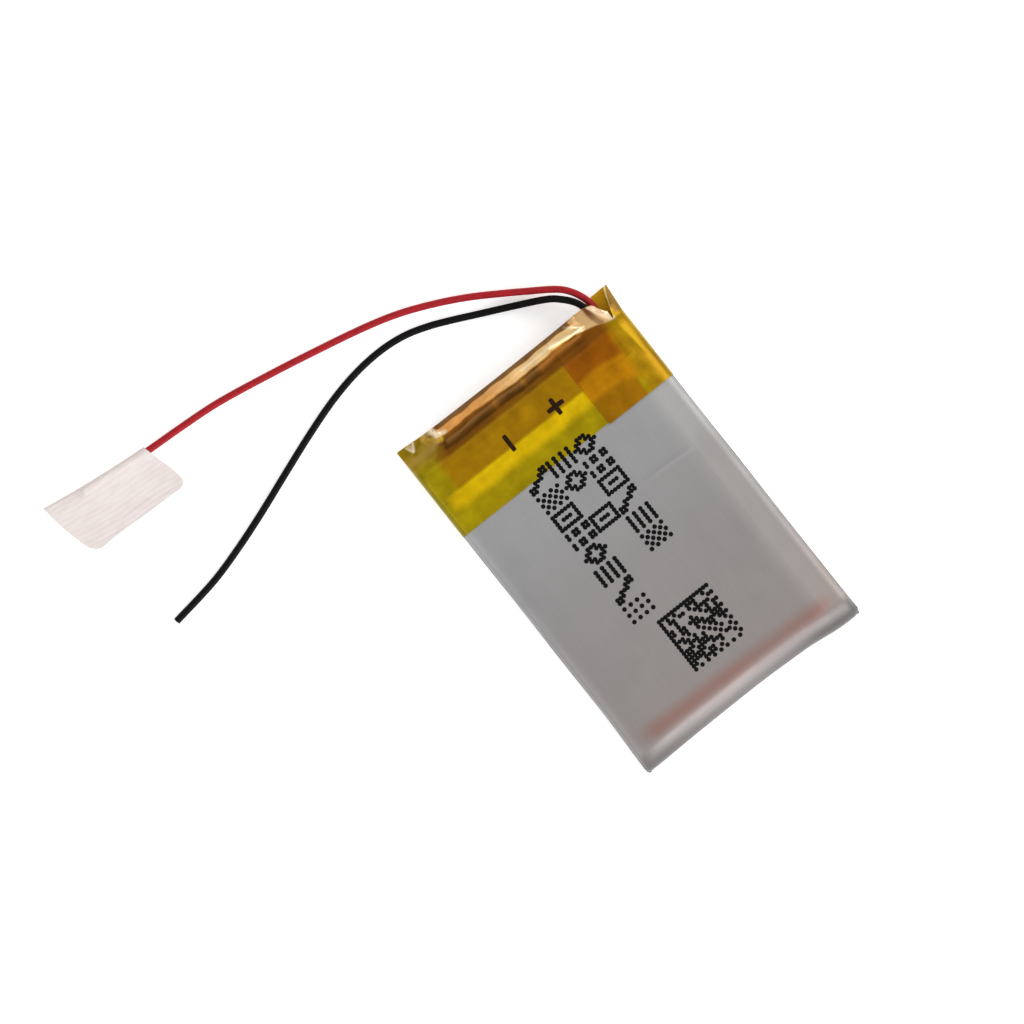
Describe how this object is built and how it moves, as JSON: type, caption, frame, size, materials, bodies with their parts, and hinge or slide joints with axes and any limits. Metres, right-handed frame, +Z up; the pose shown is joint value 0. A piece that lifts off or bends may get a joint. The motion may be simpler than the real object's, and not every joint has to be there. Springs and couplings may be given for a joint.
{
  "type": "pouch battery cell",
  "caption": "Flat pouch battery cell with a protection board under amber tape at its terminal end, flying leads and a white tape flag on the positive lead.",
  "frame": {"origin": "under the middle of the cell's outline, on the surface that its back lies on, leads left out", "axes": "+X across the width, +Y along the length towards the taped terminal end, +Z up through the thickness to the printed face"},
  "size_m": [0.0434, 0.044, 0.0033],
  "materials": {
    "laminate_film": "satin silver nylon-faced aluminium laminate, cold formed and heat sealed",
    "cathode_coating": "matt black oxide coating on aluminium foil",
    "anode_coating": "matt dark grey graphite coating on copper foil",
    "separator_film": "white microporous film",
    "winding_tape": "thin green polyester tape",
    "tab_aluminium": "bright rolled strip",
    "tab_nickel": "bright rolled nickel strip",
    "tab_sealant": "translucent cream sealing film",
    "board_laminate": "green solder mask over glass epoxy board",
    "chip_epoxy": "moulded black epoxy with tinned legs",
    "resistor_ceramic": "black-coated ceramic with tinned ends",
    "capacitor_ceramic": "tan ceramic with tinned ends",
    "insulation_paper": "buff insulating paper",
    "solder": "bright solder",
    "tinned_copper": "tinned copper strand",
    "red_sleeve": "soft red extruded insulation",
    "black_sleeve": "soft black extruded insulation",
    "white_tape": "white crepe paper tape",
    "amber_tape": "glossy transparent amber polyimide tape"
  },
  "bodies": {
    "root": {"pouch_cup": "laminate_film", "pouch_cover": "laminate_film", "cathode_sheet": "cathode_coating", "inner_separator": "separator_film", "anode_sheet": "anode_coating", "outer_separator": "separator_film", "winding_end_tape": "winding_tape", "positive_tab": "tab_aluminium", "positive_tab_sealant": "tab_sealant", "positive_weld_plate": "tab_nickel", "negative_tab": "tab_nickel", "negative_tab_sealant": "tab_sealant", "negative_weld_plate": "tab_nickel", "protection_board": "board_laminate", "protection_controller": "chip_epoxy", "twin_switch": "chip_epoxy", "filter_resistor": "resistor_ceramic", "sense_resistor": "resistor_ceramic", "filter_capacitor": "capacitor_ceramic", "seal_insulator": "insulation_paper", "positive_lead_core": "tinned_copper", "positive_solder_joint": "solder", "positive_lead": "red_sleeve", "negative_lead_core": "tinned_copper", "negative_solder_joint": "solder", "negative_lead": "black_sleeve", "lead_end_flag": "white_tape", "board_tape": "amber_tape", "tape_collar": "amber_tape"}
  },
  "joints": []
}
